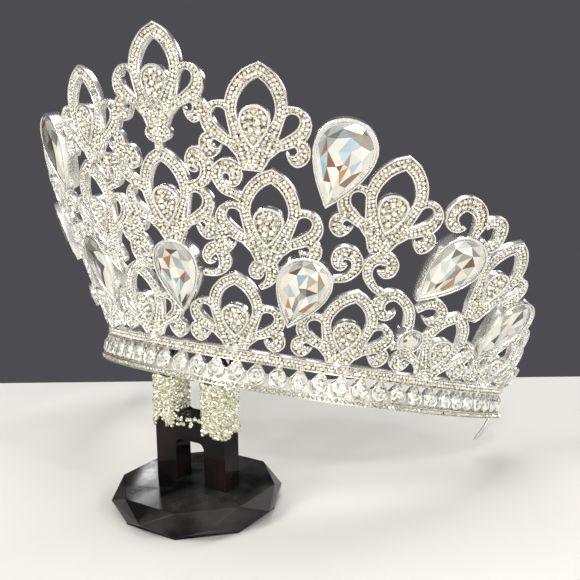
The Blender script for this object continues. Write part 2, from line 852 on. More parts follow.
class Region:
    """Union of flat shapes in s and h, with its outlines."""

    SCALE = 100.0  # the solver keeps its precision near one
    EPSILON = 1e-6
    OUTSIDE = -1e-4
    SLIVER = 1e-7
    STEP_SHARE = 0.55
    SHARP = 0.6  # cosine of a turn that counts as a corner
    SHORT = 0.05
    MITRE = 0.62  # least cosine that a corner's offset is divided by

    def __init__(self, surface: CrownSurface) -> None:
        """Starts empty.

        Args:
            surface: The crown's surface.
        """
        self.surface = surface
        self.points: list[tuple[float, float]] = []
        self.faces: list[list[int]] = []
        self.lanes: list[Array] = []

    def strip(self, rows: Array, lane: bool = True) -> None:
        """Adds a strip between two edges.

        Args:
            rows: s and h of the left edge, then of the right edge.
            lane: Whether stones are laid in rows along it.
        """
        base = len(self.points)
        self.points += [(float(x), float(y)) for row in rows for x, y in (row[:2], row[2:])]
        for k in range(base, len(self.points) - 2, 2):
            self._triangle(k, k + 1, k + 3)
            self._triangle(k, k + 3, k + 2)
        if lane:
            self.lanes.append(rows)

    def shape(self, outline: Array) -> None:
        """Adds a closed outline, as a fan about its middle.

        Args:
            outline: Its rows of s and h.
        """
        base, n = len(self.points), len(outline)
        self.points += [(float(x), float(y)) for x, y in (*outline, outline.mean(0))]
        for i in range(n):
            self._triangle(base + i, base + (i + 1) % n, base + n)

    def _triangle(self, a: int, b: int, c: int) -> None:
        """Adds a triangle, turned counter-clockwise.

        Args:
            a: Number of its first point.
            b: Number of its second point.
            c: Number of its third point.
        """
        area = doubled_area(*(np.array(self.points[i]) for i in (a, b, c)))
        if abs(area) > self.EPSILON:
            self.faces.append([a, b, c] if area > 0 else [a, c, b])

    def solve(self) -> None:
        """Works out the triangles of the union and its closed outlines.

        The solver's list of origins runs past thin triangles, so each new triangle is kept
        only where its middle lies in a shape that it is said to come from.
        """
        coords = [Vector((x / self.SCALE, y / self.SCALE)) for x, y in self.points]
        verts, _, faces, _, _, parents = delaunay_2d_cdt(coords, [], self.faces, 1, self.EPSILON)
        self.verts = np.array([(v.x, v.y) for v in verts]) * self.SCALE
        tris = np.array(faces, int)
        pairs = np.array([(k, o) for k, given in enumerate(parents) for o in given], int)
        corners = np.array(self.points)[np.array(self.faces)[pairs[:, 1]]]
        middle = self.verts[tris[pairs[:, 0]]].mean(1)
        inside = np.ones(len(pairs), bool)
        for i in range(3):
            inside &= doubled_area(corners[:, i], corners[:, (i + 1) % 3], middle) > self.OUTSIDE
        self.tris = tris[np.unique(pairs[inside, 0])]
        area = doubled_area(*(self.verts[self.tris[:, i]] for i in range(3)))
        self.tris[area < 0] = self.tris[area < 0][:, ::-1]
        self.tris = self.tris[np.abs(area) > self.SLIVER]
        self.loops = self._outlines()

    def _outlines(self) -> list[Array]:
        """Walks round the union's edges.

        Returns:
            The points of each closed outline.
        """
        edges: set[tuple[int, int]] = set()
        for t in self.tris.tolist():
            for a, b in zip(t, t[1:] + t[:1]):
                if (b, a) in edges:
                    edges.remove((b, a))
                else:
                    edges.add((a, b))
        ahead: dict[int, list[int]] = {}
        for a, b in sorted(edges):
            ahead.setdefault(a, []).append(b)
        loops = []
        while ahead:
            start = here = next(iter(ahead))
            loop = [start]
            while here in ahead:
                options = ahead[here]
                if len(loop) > 1 and len(options) > 1:
                    at = self.verts[here]
                    back = self.verts[loop[-2]] - at
                    options.sort(key=lambda q: self._turn(back, self.verts[q] - at))
                onward = options.pop(0)
                if not options:
                    del ahead[here]
                if onward == start:
                    break
                loop.append(onward)
                here = onward
            if len(loop) > 3:
                loops.append(self.verts[loop])
        return loops

    @staticmethod
    def _turn(back: Array, on: Array) -> float:
        """Clockwise angle from the edge behind to the edge ahead."""
        return (math.atan2(back[1], back[0]) - math.atan2(on[1], on[0])) % (2 * math.pi)

    def even(self, loop: Array, step: float) -> tuple[Array, Array]:
        """Spaces a loop evenly but keeps its corners, and finds its inward normals.

        Args:
            loop: The loop's points.
            step: Longest distance between points in mm.

        Returns:
            The points, and for each one the offset in s and h of 1 mm inwards.
        """
        ahead = np.roll(loop, -1, 0) - loop
        span = np.hypot(ahead[:, 0] * self.surface.stretch(*loop.T), ahead[:, 1])
        keep, gone = [0], 0.0
        for i in range(1, len(loop)):
            gone += span[i - 1]
            if gone >= step * self.STEP_SHARE or (
                    span[i - 1] > self.SHORT and unit(ahead[i - 1]) @ unit(ahead[i]) < self.SHARP):
                keep.append(i)
                gone = 0.0
        p = loop[keep]
        g = self.surface.stretch(*p.T)
        metric = np.stack([g, np.ones_like(g)], 1)
        after = unit((np.roll(p, -1, 0) - p) * metric)[:, ::-1] * (-1, 1)
        before = unit((p - np.roll(p, 1, 0)) * metric)[:, ::-1] * (-1, 1)
        n = before + after
        n = n / np.maximum(np.linalg.norm(n, axis=1, keepdims=True), self.EPSILON)
        n = n / np.clip((n * after).sum(1, keepdims=True), self.MITRE, 1.0)
        return p, n / metric


@dataclass
class Scrollwork:
    """The pierced metal: fleurs, scrolls, the band's wall and its upper rail."""

    surface: CrownSurface
    finishes: Finishes
    fleur_w: float = 31.6
    fleur_l: float = 28.0
    scroll_w: float = 3.3
    disc_w: float = 5.8
    disc_h: float = 72.4
    back: float = -1.0
    floor: float = 0.3
    top: float = 0.95
    rim: float = 0.46
    rim_bend: float = 0.09
    rim_step: float = 0.62
    rail: tuple[float, float] = (8.2, 12.0)
    low_rail: float = 2.0
    valley: float = 5.72
    overlap: float = 0.3
    wall_foot: float = 0.4
    stem_gap: float = 3.0
    drop_points: int = 20
    stones_half: int = 20

    def __post_init__(self) -> None:
        """Gathers the fleurs and solves the union of the pierced shapes."""
        self.pitch = self.surface.half_arc / self.stones_half
        self.fleurs = list(CENTRE_FLEURS)
        for f in HALF_FLEURS:
            left = (*f.sides[2:], *f.sides[:2])
            self.fleurs += [f, Fleur(-f.s, f.h, -f.tilt, f.w, f.l, left, f.stem)]
        self.region = Region(self.surface)
        self._castings()
        self._band()
        self.region.solve()
        log.info("union: %d triangles, %d outlines", len(self.region.tris),
                 len(self.region.loops))

    def along(self, share: Array | float) -> Array | float:
        """Place along the band from hundredths of the half band."""
        return share / 100 * self.surface.half_arc

    def high_up(self, share: Array | float) -> Array | float:
        """Height from hundredths of the crown's height."""
        return share / 100 * self.surface.height

    def anchor(self, f: Fleur | PearPlace, side: int = 1) -> Anchor:
        """The anchor of a fleur's tip or of a stone's middle, on one side."""
        return Anchor(self.surface, side * self.along(f.s), self.high_up(f.h), side * f.tilt)

    def drop(self, f: Fleur, n: int) -> Array:
        """A fleur's teardrop in its own mm.

        Args:
            f: The fleur.
            n: Points.

        Returns:
            The outline.
        """
        wide, top, low = DROP
        w, l = self.fleur_w * f.w, self.fleur_l * f.l
        out = pear(wide / 100 * w / 2, (low - top) / 100 * l, n)
        out[:, 1] -= (low + top) / 200 * l
        return out

    def _motif(self, f: Fleur, rows: Rows, side: int) -> Array:
        """Maps a table of the fleur onto the crown.

        Args:
            f: The fleur.
            rows: The table, in hundredths of its half width and of its length.
            side: 1 for the right side, -1 for the left.

        Returns:
            Rows of s and h of both edges.
        """
        size = (side * self.fleur_w * f.w / 200, self.fleur_l * f.l / 100)
        fine, anchor = smooth_rows(rows), self.anchor(f)
        return np.concatenate([anchor.mapped(fine[:, :2] * size),
                               anchor.mapped(fine[:, 2:] * size)], 1)

    def _scroll(self, rows: Rows, side: int) -> Array:
        """Maps a scroll's middle line onto the crown.

        Args:
            rows: Place, height and width in hundredths.
            side: 1 for the right half, -1 for the left.

        Returns:
            Rows of s and h of both edges.
        """
        fine = smooth_rows(rows)
        s, h = self.along(fine[:, 0]), self.high_up(fine[:, 1])
        g = self.surface.stretch(s, h)
        step = np.gradient(np.stack([s * g, h], 1), axis=0)
        step /= np.linalg.norm(step, axis=1, keepdims=True)
        half = self.scroll_w * fine[:, 2] / 200
        ds, dh = step[:, 1] * half / g, -step[:, 0] * half
        return np.stack([side * (s - ds), h - dh, side * (s + ds), h + dh], 1)

    def _castings(self) -> None:
        """Adds the fleurs, the scrolls and the medallion on the centre stem."""
        reach, half = [-r[1] for r in FLANK], [r[0] for r in FLANK]
        for f in self.fleurs:
            flank = [r for r in FLANK if -r[1] < f.stem - self.stem_gap]
            flank.append((float(np.interp(f.stem, reach, half)), -f.stem, FLANK[-1][2], -f.stem))
            for k, side in enumerate((-1, 1)):
                self.region.strip(self._motif(f, flank, side))
                for there, rows in zip(f.sides[2 * k:], (EAR, HOOK)):
                    if there:
                        self.region.strip(self._motif(f, rows, side))
            self.region.shape(self.anchor(f).mapped(self.drop(f, self.drop_points)))
        for rows, side in product(SCROLLS, (-1, 1)):
            self.region.strip(self._scroll(rows, side))
        self.region.shape(ring(self.disc_w, self.drop_points)
                          + (0.0, self.high_up(self.disc_h)))

    def _band(self) -> None:
        """Adds the upper rail and the wall with its zig-zag of peaks."""
        end, n = self.surface.half_arc, self.stones_half
        s = np.linspace(-end, end, 8 * n + 1)
        level = np.ones_like(s)
        self.region.strip(np.stack([s, self.rail[1] * level, s, self.rail[0] * level], 1), False)
        rise = self.rail[0] + self.overlap - self.valley
        peaks = [((i + 0.5 + a) * self.pitch, self.valley + b * rise)
                 for i, (a, b) in product(range(-n, n), ZIGZAG)]
        s, h = np.array([*peaks, (end, self.valley)]).T
        low = np.full_like(s, self.low_rail - self.wall_foot)
        self.region.strip(np.stack([s, h, s, low], 1), False)

    def build(self) -> None:
        """Builds the plate with its sunk floors and the rims round every opening."""
        bag = MeshBag()
        (s, h), tris = self.region.verts.T, self.region.tris
        wall = h[tris].mean(1) < self.rail[0]
        bag.add(self.surface.place(s, h, self.floor), tris[~wall], slot=1)
        bag.add(bag.points[0], tris[wall], slot=2)
        bag.add(self.surface.place(s, h, self.back), tris[:, ::-1], slot=2)
        low, bend = self.floor - 0.1, self.rim_bend
        profile = ((0.0, self.back), (0.0, self.top - 0.12), (bend, self.top),
                   (self.rim - bend, self.top), (self.rim, self.top - 0.1), (self.rim + 0.03, low))
        for loop in self.region.loops:
            p, inward = self.region.even(loop, self.rim_step)
            if len(p) > 3:
                bag.rings([self.surface.place(*(p + inward * a).T, d)
                           for a, d in reversed(profile)], (False, False))
        bag.make("scrollwork", [self.finishes.rims, self.finishes.recess, self.finishes.satin],
                 Slot.SILVER, ["crown_frame"], smooth=42)


@dataclass
class Dressing:
    """What the sub-assemblies on the scrollwork are built from."""

    work: Scrollwork
    finishes: Finishes

    @property
    def surface(self) -> CrownSurface:
        """The crown's surface."""
        return self.work.surface


# ------------------------------------------------------------------ stones


@dataclass(frozen=True)
class StoneCut:
    """A small round stone: its sides, girdle and table."""

    sides: int = 6
    rise: float = 0.46
    table: float = 0.5
    girdle: float = 0.3
    own_share: float = 0.22

    def _template(self) -> tuple[Array, Faces]:
        """Shapes one stone.

        Returns:
            Points of a stone one mm across, and its faces.
        """
        n = self.sides
        points = np.concatenate([lifted(ring(1.0, n), 0.0),
                                 lifted(ring(1.0, n), self.girdle * self.rise),
                                 lifted(ring(self.table, n, 0.0), self.rise)])
        faces: Faces = []
        for j in range(n):
            k = (j + 1) % n
            faces += [(j, k, n + k, n + j), (n + j, n + k, 2 * n + k),
                      (n + j, 2 * n + k, 2 * n + j)]
        return points, [*faces, tuple(range(2 * n, 3 * n))]

    def lay(self, bag: MeshBag, at: Array, axes: Array, size: Array | float, rng: Rng,
            tip: float) -> None:
        """Lays stones.

        Args:
            bag: Takes the mesh.
            at: World places.
            axes: Column axes at each place.
            size: Widths.
            rng: Random numbers.
            tip: How far a stone may lean, in radians.
        """
        points, faces = self._template()
        n, k = len(at), len(points)
        spin = rng.uniform(0, 2 * math.pi, n)
        x, y = rng.normal(0, tip / 2, (n, 2)).clip(-tip, tip).T
        c, q = np.cos(spin), np.sin(spin)
        turned = axes @ matrices(1, 0, x, 0, 1, y, -x, -y, 1) @ matrices(c, -q, 0, q, c, 0, 0, 0, 1)
        out = np.einsum("nij,kj->nki", turned, points)
        out = out * np.broadcast_to(size, n)[:, None, None] + at[:, None, :]
        tones = rng.uniform(0, 1, (n, 1)) * self.own_share \
            + rng.uniform(0, 1, (n, len(faces))) * (1 - self.own_share)
        bag.add(out.reshape(-1, 3), [tuple(i * k + j for j in f) for i in range(n) for f in faces],
                tones.reshape(-1).tolist())

    def stud(self, bag: MeshBag, surface: CrownSurface, sh: Array, d: float,
             size: Array | float, rng: Rng, tip: float) -> None:
        """Lays stones on the crown.

        Args:
            bag: Takes the mesh.
            surface: The crown's surface.
            sh: Rows of s and h.
            d: Distance in front of the middle surface.
            size: Widths.
            rng: Random numbers.
            tip: How far a stone may lean, in radians.
        """
        self.lay(bag, surface.place(*sh.T, d), surface.frames(*sh.T), size, rng, tip)


class Spacing:
    """Keeps stones apart from each other and from the metal's edges."""

    CELL = 2.4
    SPLIT = 4

    def __init__(self, surface: CrownSurface, region: Region) -> None:
        """Indexes the outlines.

        Args:
            surface: The crown's surface.
            region: The union whose edges are kept clear.
        """
        self.cells: dict[tuple[int, ...], list[tuple[Array, float]]] = {}
        edge = np.concatenate([loop + (np.roll(loop, -1, 0) - loop) * k / self.SPLIT
                               for loop in region.loops for k in range(self.SPLIT)])
        self.tree = KDTree(len(edge))
        for i, p in enumerate(surface.place(*edge.T, 0.0)):
            self.tree.insert(p, i)
        self.tree.balance()

    def edge(self, at: Array) -> float:
        """Distance from the metal's edge."""
        return self.tree.find(at)[2]

    def take(self, at: Array, r: float, share: float) -> bool:
        """Takes a place if no stone is there.

        Args:
            at: The place.
            r: The stone's radius.
            share: Share of the two radii that has to stay free.

        Returns:
            Whether the place was free.
        """
        cell = tuple(math.floor(c / self.CELL) for c in at)
        for near in product(*((c - 1, c, c + 1) for c in cell)):
            for q, other in self.cells.get(near, ()):
                if np.sum((q - at) ** 2) < (share * (r + other)) ** 2:
                    return False
        self.cells.setdefault(cell, []).append((at, r))
        return True


@dataclass
class Pave(Dressing):
    """Fine stones that fill the metal between its rims."""

    size: float = 1.2
    share: float = 0.8
    edge_share: float = 0.24
    drop_share: float = 0.8
    rail_rows: float = 1.16
    lane_pitch: float = 0.97
    wide_lane: float = 2.6
    lane_rows: float = 0.34
    tries: int = 90000
    scatter: tuple[float, float] = (0.7, 1.0)
    vary: tuple[float, float] = (0.9, 1.04)
    sunk: float = 0.02
    tip: float = 0.4
    seed: int = SEED

    def build(self) -> None:
        """Lays the stones."""
        rng = np.random.default_rng(self.seed)
        room = Spacing(self.surface, self.work.region)
        inset = self.work.rim + self.edge_share * self.size
        blocked = self._drops()
        kept: list[tuple[float, float, float]] = []
        for s, h, r in self._candidates(rng):
            if any((x - s) ** 2 / a + (y - h) ** 2 / b < 1 for x, y, a, b in blocked
                   if (x - s) ** 2 < a):
                continue
            at = self.surface.place(np.array([s]), np.array([h]), 0.0)[0]
            if room.edge(at) > inset and room.take(at, r, self.share):
                kept.append((s, h, r))
        data = np.array(kept)
        size = 2 * data[:, 2] * rng.uniform(*self.vary, len(data))
        bag = MeshBag()
        StoneCut().stud(bag, self.surface, data[:, :2], self.work.floor - self.sunk, size, rng,
                        self.tip)
        bag.make("pave_stones", [self.finishes.fine], Slot.CRYSTAL)

    def _drops(self) -> list[tuple[float, ...]]:
        """Ovals round the teardrops that stay free of fine stones.

        Returns:
            Middle (s, h), and the squares of half the width and half the height.
        """
        out = []
        for f in self.work.fleurs:
            edge = self.work.anchor(f).mapped(self.work.drop(f, 24))
            low, high = edge.min(0), edge.max(0)
            out.append((*(low + high) / 2, *((high - low) / 2 * self.drop_share) ** 2))
        return out

    def _candidates(self, rng: Rng) -> Iterator[tuple[float, float, float]]:
        """Places to try: rows along the rail and the strips first, then a scatter.

        Args:
            rng: Random numbers.

        Yields:
            Place along the band, height and radius.
        """
        half, end = self.size / 2, self.surface.half_arc
        for i in range(2 * int(2 * end / self.size)):
            yield (-end + (i / 2 + 0.5) * self.size,
                   sum(self.work.rail) / 2 + self.rail_rows * (i % 2 - 0.5), half)
        for rows in self.work.region.lanes:
            g = self.surface.stretch(rows[:, 0], rows[:, 1])
            width = np.hypot((rows[:, 2] - rows[:, 0]) * g, rows[:, 3] - rows[:, 1])
            step = np.diff((rows[:, :2] + rows[:, 2:]) / 2, axis=0)
            run = np.concatenate([[0.0], np.cumsum(np.hypot(step[:, 0] * g[1:], step[:, 1]))])
            count = max(2, int(run[-1] / (self.size * self.lane_pitch)))
            for side in (0, 1):
                at = (np.arange(count) + 0.25 + 0.5 * side) / count * run[-1]
                wide = np.interp(at, run, width) > self.wide_lane
                share = 0.5 + np.where(wide, (side - 0.5) * self.lane_rows, 0.0)
                s1, h1, s2, h2 = (np.interp(at, run, rows[:, k]) for k in range(4))
                for s, h in zip(s1 * (1 - share) + s2 * share, h1 * (1 - share) + h2 * share):
                    yield s, h, half
        a, b, c = np.moveaxis(self.work.region.verts[self.work.region.tris], 1, 0)
        area = np.abs(doubled_area(a, b, c))
        pick = rng.choice(len(a), self.tries, p=area / area.sum())
        u, v = rng.uniform(0, 1, (2, self.tries))
        flip = u + v > 1
        u[flip], v[flip] = 1 - u[flip], 1 - v[flip]
        for s, h in a[pick] + (b - a)[pick] * u[:, None] + (c - a)[pick] * v[:, None]:
            if h > self.work.rail[0]:
                yield s, h, half * rng.uniform(*self.scatter)


@dataclass
class Teardrops(Dressing):
    """Raised teardrop plates inside the fleurs, with larger stones."""

    rise: float = 1.6
    sunk: float = 0.62
    sizes: tuple[tuple[float, int], ...] = ((0.85, 60), (0.6, 260), (0.42, 900))
    margin: float = 0.62
    share: float = 0.94
    lift: float = 0.06
    low_row: float = 40.0
    foot: float = 0.965
    foot_size: float = 2.5
    seed: int = SEED + 1

    def build(self) -> None:
        """Builds the plates and their stones, and one at the foot of each low fleur."""
        rng = np.random.default_rng(self.seed)
        plates, stones = MeshBag(), MeshBag()
        profile = ((-0.05, self.work.floor - 0.1), (-0.05, self.rise - 0.14), (0.05, self.rise),
                   (0.5, self.rise), (0.6, self.rise - 0.1), (0.66, self.rise - self.sunk))
        for f in self.work.fleurs:
            anchor, edge = self.work.anchor(f), self.work.drop(f, 32)
            w = edge[:, 0].max() * 2
            middle = np.array([0.0, (edge[:, 1].max() + edge[:, 1].min()) / 2 + self.lift * w])
            rings = [anchor.bent(middle + (edge - middle) * (1 - 2 * inset / w), d)
                     for inset, d in profile]
            plates.rings(rings, (False, False))
            plates.add(rings[-1], [tuple(range(len(edge)))], slot=1)
            self._fill(stones, anchor, edge, rng)
            if f.h < self.low_row:
                foot = anchor.mapped(np.array([[0.0, -self.foot * self.work.fleur_l * f.l]]))
                StoneCut(8, 0.45).stud(stones, self.surface, foot, self.work.floor + 0.1,
                                       self.foot_size, rng, 0.05)
        plates.make("teardrop_plates", [self.finishes.rims, self.finishes.recess], Slot.SILVER,
                    smooth=40)
        stones.make("teardrop_stones", [self.finishes.drops], Slot.CRYSTAL)

    def _fill(self, bag: MeshBag, anchor: Anchor, edge: Array, rng: Rng) -> None:
        """Packs stones of mixed size into a teardrop.

        Args:
            bag: Takes the mesh.
            anchor: The fleur's anchor.
            edge: The teardrop's outline in the fleur's mm.
            rng: Random numbers.
        """
        dense = np.concatenate([edge + (np.roll(edge, -1, 0) - edge) * k / 4 for k in range(4)])
        taken: list[tuple[float, float, float]] = []
        low, high = edge.min(0), edge.max(0)
        for r, tries in self.sizes:
            for _ in range(tries):
                x, y = p = rng.uniform(low, high)
                if np.min(np.linalg.norm(dense - p, axis=1)) < r + self.margin \
                        or not self._inside(p, edge):
                    continue
                if all((x - a) ** 2 + (y - b) ** 2 > (self.share * (r + q)) ** 2
                       for a, b, q in taken):
                    taken.append((x, y, r))
        data = np.array(taken)
        StoneCut(7, 0.5).stud(bag, self.surface, anchor.mapped(data), self.rise - self.sunk - 0.02,
                              2 * data[:, 2], rng, 0.18)

    @staticmethod
    def _inside(p: Array, edge: Array) -> bool:
        """Whether a point lies inside a closed outline.

        Args:
            p: The point.
            edge: The outline.

        Returns:
            True inside it.
        """
        a, b = edge, np.roll(edge, -1, 0)
        cross = (a[:, 1] > p[1]) != (b[:, 1] > p[1])
        with np.errstate(divide="ignore", invalid="ignore"):
            x = a[:, 0] + (p[1] - a[:, 1]) * (b[:, 0] - a[:, 0]) / (b[:, 1] - a[:, 1])
        return bool(np.sum(cross & (p[0] < x)) % 2)


@dataclass
class Band(Dressing):
    """The lower rail with its champagne stones, and the row of larger stones."""

    front: float = 1.5
    back: float = -1.0
    groove: float = 0.45
    sections: int = 160
    rail_pitch: float = 1.42
    rail_stone: float = 1.38
    row_share: float = 0.42
    # Rings of a collet from its foot inwards: width and height over the floor.
    collet: Rows = ((5.7, -0.2), (5.7, 0.75), (5.35, 0.9), (5.0, 0.8), (5.0, 0.0))
    # Rings of its stone from the girdle to the table: width, height and turn.
    cut: Rows = ((4.94, 0.7, 0.0), (4.1, 1.15, 0.5), (2.9, 1.5, 0.0))
    star: tuple[float, float] = (1.5, 1.42)
    collet_sides: int = 24
    sides: int = 8
    seed: int = SEED + 2

    def build(self) -> None:
        """Builds the rail and both rows of stones."""
        rng = np.random.default_rng(self.seed)
        end, top, f, sunk = (self.surface.half_arc, self.work.low_rail, self.front,
                             self.front - self.groove)
        h, d = np.array(((0, self.back), (0, f - 0.1), (0.1, f), (0.3, f), (0.36, sunk),
                         (top - 0.36, sunk), (top - 0.3, f), (top - 0.1, f), (top, f - 0.1),
                         (top, self.back))).T
        rail, stones = MeshBag(), MeshBag()
        rail.rings([self.surface.place(np.full_like(h, s), h, d)
                    for s in np.linspace(end, -end, self.sections + 1)])
        rail.make("lower_rail", [self.finishes.rims], Slot.SILVER, smooth=35)
        count = int(2 * end / self.rail_pitch)
        s = -end + (np.arange(count) + 0.5) * 2 * end / count
        StoneCut(7, 0.55).stud(stones, self.surface, np.stack([s, np.full(count, top / 2)], 1),
                               sunk - 0.01, self.rail_stone, rng, 0.2)
        stones.make("lower_rail_stones", [self.finishes.champagne], Slot.CHAMPAGNE)
        self._row(rng)

    def _row(self, rng: Rng) -> None:
        """Builds the row of larger stones in their collets.

        Args:
            rng: Random numbers.
        """
        work, n = self.work, self.sides
        height = work.low_rail + self.row_share * (work.rail[0] - work.low_rail) + 0.1
        stones, collets = MeshBag(), MeshBag()
        for i in range(-work.stones_half, work.stones_half):
            a = Anchor(self.surface, (i + 0.5) * work.pitch, height)
            collets.rings([a.disc(w, work.floor + z, self.collet_sides)
                           for w, z in self.collet], (False, True))
            spin = rng.uniform(0, 1)
            rings = [a.disc(w, work.floor + z, 2 * n, spin + turn) for w, z, turn in self.cut]
            stones.rings(rings, (False, False), rng.uniform(0, 1, 4 * n).tolist())
            points = [rings[-1], a.disc(self.star[0], work.floor + self.star[1], n, spin / 2),
                      a.disc(0.0, work.floor + self.cut[-1][1], 1)]
            faces: Faces = []
            for j in range(n):
                p, q, r = 2 * j, 2 * j + 1, (2 * j + 2) % (2 * n)
                here, beside = 2 * n + j, 2 * n + (j + 1) % n
                faces += [(p, q, here), (q, r, beside), (q, beside, here), (here, beside, 3 * n)]
            stones.add(np.concatenate(points), faces, rng.uniform(0, 1, len(faces)).tolist())
        collets.make("band_collets", [self.finishes.rims], Slot.SILVER, smooth=35)
        stones.make("band_row_stones", [self.finishes.clear], Slot.CRYSTAL, ["band_stones"])


@dataclass
class MainStones(Dressing):
    """The pear stones and round stones with their settings."""

    big: tuple[float, float] = (17.2, 25.0)
    small: tuple[float, float] = (16.0, 23.6)
    round_d: float = 8.6
    rim_w: tuple[float, float] = (2.1, 2.2)
    seat: float = 1.85
    # Rings of a setting from behind the plate to its floor: inset and height.
    setting: Rows = (
        (0.55, -2.6), (0.12, -1.2), (0.0, -0.8), (0.0, 2.24), (0.12, 2.4), (0.42, 2.4),
        (0.52, 2.28), (0.58, 1.65), (0.86, 1.65), (0.92, 2.1), (1.1, 2.1), (1.2, 1.5))
    # Rings of a pear from the table down: size, turn, times the sides, height over the seat.
    pear_cut: Rows = (
        (0.62, 0.0, 1, 1.5), (0.84, 0.5, 1, 0.95), (1.0, 0.0, 2, 0.1), (1.0, 0.0, 2, -0.5))
    # Rings of a round stone from below the girdle up: size, turn, height over the seat.
    round_cut: Rows = ((1.0, 0.0, -0.4), (1.0, 0.0, 0.0), (0.8, 0.5, 0.6), (0.55, 0.0, 1.0))
    sides: int = 10
    round_sides: int = 12
    foot_shift: float = 0.09
    patch: tuple[float, float] = (0.36, 0.62)
    patch_side: float = 0.7
    patch_dip: float = 0.28
    drift: tuple[float, float] = (0.6, 0.8)
    outer_tones: tuple[float, ...] = (0.24, 0.34, 0.44, 0.8, 0.86, 0.95)
    seed: int = SEED + 3

    def build(self) -> None:
        """Builds all settings and stones."""
        rng = np.random.default_rng(self.seed)
        cups = MeshBag()
        places = [(FRONT_PEAR, 1, "pear_front")]
        for p in HALF_PEARS:
            places += [(p, 1, f"pear_{p.name}_right"), (p, -1, f"pear_{p.name}_left")]
        for p, side, node in places:
            anchor, (w, l) = self.work.anchor(p, side), self.big if p.big else self.small
            self._cup(cups, anchor, pear(w, l, 40), w)
            self._pear(anchor, w, l, node, rng)
        for p, (side, word) in product(HALF_ROUNDS, ((1, "right"), (-1, "left"))):
            anchor = self.work.anchor(p, side)
            self._cup(cups, anchor, ring(self.round_d, 28), self.round_d)
            self._round(anchor, f"round_{p.name}_{word}", rng)
        cups.make("stone_settings", [self.finishes.rims], Slot.SILVER, smooth=35)

    def _cup(self, bag: MeshBag, anchor: Anchor, edge: Array, w: float) -> None:
        """Builds one setting with a thin double rim.

        Args:
            bag: Takes the mesh.
            anchor: Its anchor.
            edge: Its outline.
            w: Its width.
        """
        bag.rings([anchor.flat(lifted(edge * (1 - inset * 2 / w), z))
                   for inset, z in self.setting], (True, False))

    def _pear(self, anchor: Anchor, w: float, l: float, node: str, rng: Rng) -> None:
        """Builds one pear stone with its facets.

        Args:
            anchor: Its anchor.
            w: Width of the setting.
            l: Length of the setting.
            node: The CAD node that it stands for.
            rng: Random numbers.
        """
        n, bag = self.sides, MeshBag()
        w, l = w - self.rim_w[0], l - self.rim_w[0]
        points: list[Array] = []
        for size, turn, times, z in self.pear_cut:
            edge = pear(w, l, n * times, turn) * size + (0.0, self.foot_shift * l * (1 - size))
            points += list(lifted(edge, self.seat + z))
        faces: Faces = []
        tones: list[float] = []
        for j in range(n):
            k, a, b, c = (j + 1) % n, *(2 * n + (2 * j + i) % (2 * n) for i in range(3))
            faces += [(a, b, n + j), (b, c, n + j), (c, n + k, n + j), (n + j, n + k, k),
                      (n + j, k, j), (a + 2 * n, b + 2 * n, b, a), (b + 2 * n, c + 2 * n, c, b)]
            tones += [self._tone(rng) for _ in range(3)] + rng.uniform(0, 1, 2).tolist()
            tones += [0.5, 0.5]
        self._table(points, faces, tones, rng)
        bag.add(anchor.flat(np.array(points)), faces, tones)
        bag.make(node + "_stone", [self.finishes.pears], Slot.CRYSTAL, [node])

    def _table(self, points: list[Array], faces: Faces, tones: list[float], rng: Rng) -> None:
        """Breaks the table into the large patches that are seen through it.

        Args:
            points: The stone's points, the table's first, which new ones are added to.
            faces: Its faces, which new ones are added to.
            tones: Its tones, which new ones are added to.
            rng: Random numbers.
        """
        n, inner = self.sides, len(points)
        edge, m = np.array(points[:n]), n // 2
        centre = edge.mean(0)
        for j in range(m):
            share = rng.uniform(*self.patch)
            side = edge[2 * j] * self.patch_side + edge[2 * j + 1] * (1 - self.patch_side)
            p = centre + (side - centre) * share
            p[2] = centre[2] - rng.uniform(0.0, self.patch_dip)
            points.append(p)
        points.append(centre + (*(rng.uniform(-d, d) for d in self.drift), 0.0))
        for j in range(m):
            here, beside = inner + j, inner + (j + 1) % m
            a, b, c = 2 * j, 2 * j + 1, (2 * j + 2) % n
            faces += [(a, b, here), (b, c, beside), (b, beside, here), (here, beside, inner + m)]
            tones += rng.uniform(0, 1, 4).tolist()

    def _tone(self, rng: Rng) -> float:
        """Tone of an outer facet, paler than the inner ones."""
        return float(rng.choice(self.outer_tones) + rng.uniform(-0.03, 0.05))

    def _round(self, anchor: Anchor, node: str, rng: Rng) -> None:
        """Builds one round stone.

        Args:
            anchor: Its anchor.
            node: The CAD node that it stands for.
            rng: Random numbers.
        """
        n, bag = self.round_sides, MeshBag()
        d = self.round_d - self.rim_w[1]
        bag.rings([anchor.disc(size * d, self.seat + z, n, turn)
                   for size, turn, z in self.round_cut],
                  (False, True), rng.uniform(0, 1, 3 * n + 1).tolist())
        bag.make(node + "_stone", [self.finishes.pears], Slot.CRYSTAL, [node])


